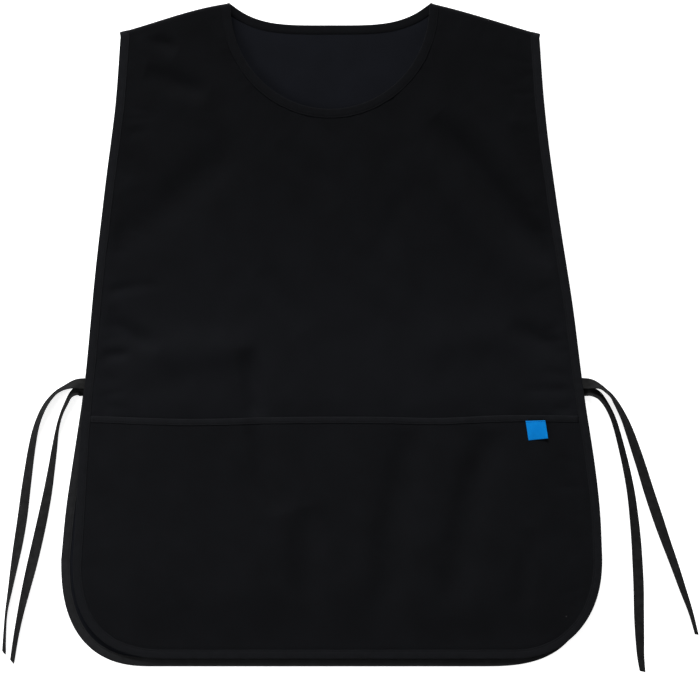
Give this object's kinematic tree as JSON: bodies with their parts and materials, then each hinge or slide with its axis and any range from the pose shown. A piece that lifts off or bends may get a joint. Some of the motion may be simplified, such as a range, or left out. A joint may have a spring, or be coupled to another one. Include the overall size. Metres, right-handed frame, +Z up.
{
  "type": "tabard apron",
  "caption": "Black cloth tabard apron laid flat: front and back panels joined at the shoulders, bound edges, a full-width lower front pocket and flat side ties.",
  "frame": {"origin": "middle of the cloth's footprint, on the surface that the apron lies on", "axes": "+Y from the hem towards the neck, +Z up from the surface, +X to the right seen from above"},
  "size_m": [0.7728, 0.7422, 0.0168],
  "materials": {
    "front_cloth": "matte black woven cloth",
    "back_cloth": "matte blue-black woven cloth, smoother inside",
    "pocket_cloth": "matte black woven cloth",
    "mouth_tape": "matte black tape",
    "binding_tape": "matte black binding tape",
    "tie_tape": "matte black woven tape",
    "label_cloth": "plain blue woven label"
  },
  "bodies": {
    "root": {"back_panel": "back_cloth", "front_panel": "front_cloth", "pocket": "pocket_cloth", "pocket_binding": "mouth_tape", "neck_binding": "binding_tape", "front_edge_binding": "binding_tape", "back_edge_binding": "binding_tape", "tie_front_left": "tie_tape", "tie_front_right": "tie_tape", "tie_back_left": "tie_tape", "tie_back_right": "tie_tape", "label": "label_cloth"}
  },
  "joints": []
}
